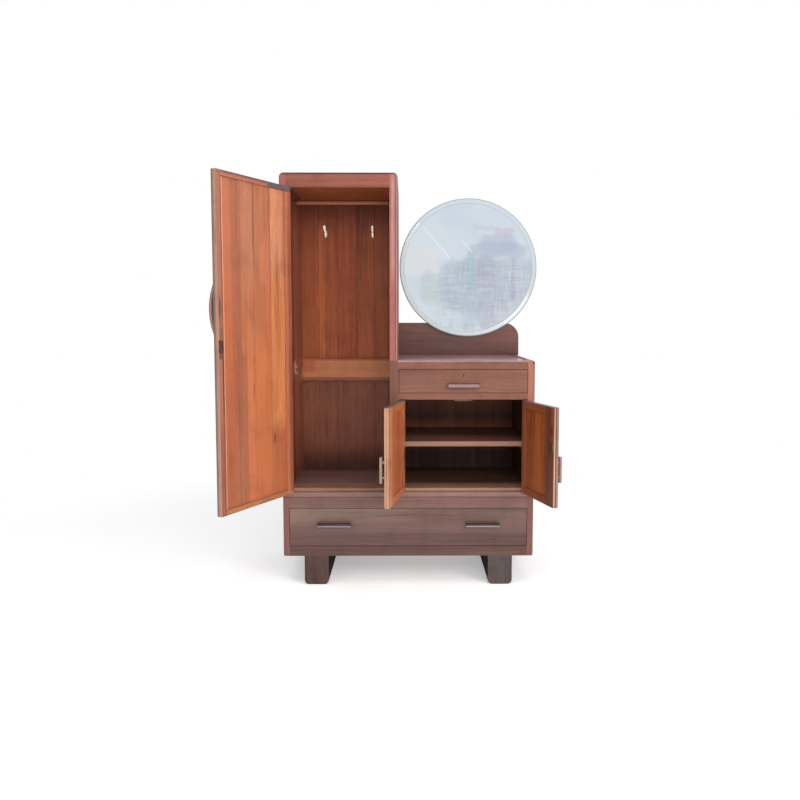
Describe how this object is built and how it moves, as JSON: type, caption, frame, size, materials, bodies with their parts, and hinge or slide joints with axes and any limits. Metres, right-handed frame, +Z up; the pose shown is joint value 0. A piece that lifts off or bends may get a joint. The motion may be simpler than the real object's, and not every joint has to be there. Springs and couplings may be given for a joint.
{
  "type": "dressing table",
  "caption": "Dressing table that joins a tall hanging cupboard and a low dresser with a drawer, small doors and a round bevelled mirror on one long-drawer base with runner feet.",
  "frame": {"origin": "middle of the bounding box on the floor plane, measured with the doors standing open as at rest", "axes": "+X along the front towards the dresser, +Y from the front to the back, +Z up"},
  "size_m": [1.3564, 0.8738, 1.756],
  "materials": {
    "foot_wood": "worn clear varnish, dark",
    "base_side_wood": "satin varnish",
    "base_rail_wood": "satin varnish",
    "column_side_wood": "satin varnish",
    "column_rail_wood": "satin varnish",
    "front_rail_wood": "satin varnish",
    "dresser_side_wood": "satin varnish",
    "dresser_top_wood": "polished varnish",
    "back_board_wood": "matt varnish",
    "mid_rail_wood": "matt varnish",
    "inner_wood": "bare, darkened",
    "shelf_wood": "matt varnish",
    "rod_wood": "bare, turned",
    "backboard_wood": "satin varnish",
    "support_wood": "bare",
    "mirror": "silvered glass, bevelled rim",
    "tall_door_wood": "satin varnish",
    "tall_board_wood": "satin varnish",
    "left_door_wood": "satin varnish",
    "right_door_wood": "satin varnish",
    "drawer_front_wood": "satin varnish",
    "drawer_box_wood": "bare",
    "handle_wood": "polished, dark",
    "hinge_brass": "dull",
    "hook_brass": "worn",
    "lock_iron": "dark lacquer, rubbed",
    "bolt_brass": "dull"
  },
  "bodies": {
    "carcass": {"feet": "foot_wood", "base_side_left": "base_side_wood", "base_side_right": "base_side_wood", "base_rail_upper": "base_rail_wood", "base_rail_lower": "base_rail_wood", "base_panels": "inner_wood", "base_back": "inner_wood", "bottom_drawer_runners": "inner_wood", "column_side_left": "column_side_wood", "column_side_right": "column_side_wood", "column_top": "inner_wood", "column_top_rail": "column_rail_wood", "column_back_boards": "back_board_wood", "column_mid_rail": "mid_rail_wood", "carcass_bottom_rail": "front_rail_wood", "carcass_floors": "inner_wood", "dresser_cheek": "dresser_side_wood", "dresser_side": "dresser_side_wood", "dresser_top": "dresser_top_wood", "dresser_top_rail": "front_rail_wood", "drawer_rail": "front_rail_wood", "door_stop_block": "front_rail_wood", "dresser_shelf": "shelf_wood", "shelf_cleats": "shelf_wood", "dresser_back_boards": "back_board_wood", "top_drawer_runners": "inner_wood", "hanging_rod": "rod_wood", "rod_sockets": "rod_wood", "coat_hooks": "hook_brass", "mirror_backboard": "backboard_wood", "mirror_supports": "support_wood", "mirror_backing": "support_wood", "mirror_glass": "mirror", "carcass_hinge_leaves": "hinge_brass", "hinge_pins": "hinge_brass"},
    "tall_door": {"tall_door_frame": "tall_door_wood", "tall_door_boards": "tall_board_wood", "tall_door_handle": "handle_wood", "tall_door_leaves": "hinge_brass", "tall_door_lock": "lock_iron"},
    "tall_bolt": {"tall_lock_bolt": "bolt_brass"},
    "left_door": {"left_door_frame": "left_door_wood", "left_door_boards": "left_door_wood", "left_door_handle": "handle_wood", "left_door_leaves": "hinge_brass"},
    "right_door": {"right_door_frame": "right_door_wood", "right_door_boards": "right_door_wood", "right_door_handle": "handle_wood", "right_door_leaves": "hinge_brass", "right_door_lock": "lock_iron"},
    "right_bolt": {"right_lock_bolt": "bolt_brass"},
    "top_drawer": {"top_drawer_front": "drawer_front_wood", "top_drawer_box": "drawer_box_wood", "top_drawer_bottom": "drawer_box_wood", "top_drawer_handle": "handle_wood", "top_drawer_lock": "lock_iron"},
    "top_bolt": {"top_lock_bolt": "bolt_brass"},
    "bottom_drawer": {"bottom_drawer_front": "drawer_front_wood", "bottom_drawer_box": "drawer_box_wood", "bottom_drawer_handles": "handle_wood"}
  },
  "joints": [
    {"name": "tall_door_hinge", "type": "hinge", "parent": "carcass", "child": "tall_door", "pos_m": [-0.45164, -0.04846, 1.049], "axis": [0, 0, -1], "range_deg": [-119.4, 50.6]},
    {"name": "left_door_hinge", "type": "hinge", "parent": "carcass", "child": "left_door", "pos_m": [0.02036, -0.04846, 0.6055], "axis": [0, 0, -1], "range_deg": [-102.7, 67.3]},
    {"name": "right_door_hinge", "type": "hinge", "parent": "carcass", "child": "right_door", "pos_m": [0.56836, -0.04846, 0.6055], "axis": [0, 0, 1], "range_deg": [-107.6, 62.4]},
    {"name": "top_drawer_slide", "type": "slide", "parent": "carcass", "child": "top_drawer", "axis": [0, -1, 0], "range_m": [0, 0.3]},
    {"name": "bottom_drawer_slide", "type": "slide", "parent": "carcass", "child": "bottom_drawer", "axis": [0, -1, 0], "range_m": [0, 0.3]},
    {"name": "tall_bolt_slide", "type": "slide", "parent": "tall_door", "child": "tall_bolt", "axis": [-0.4909, -0.8712, 0], "range_m": [0, 0.006]},
    {"name": "right_bolt_slide", "type": "slide", "parent": "right_door", "child": "right_bolt", "axis": [0.3024, -0.9532, 0], "range_m": [0, 0.006]},
    {"name": "top_bolt_slide", "type": "slide", "parent": "top_drawer", "child": "top_bolt", "axis": [0, 0, 1], "range_m": [0, 0.006]}
  ]
}
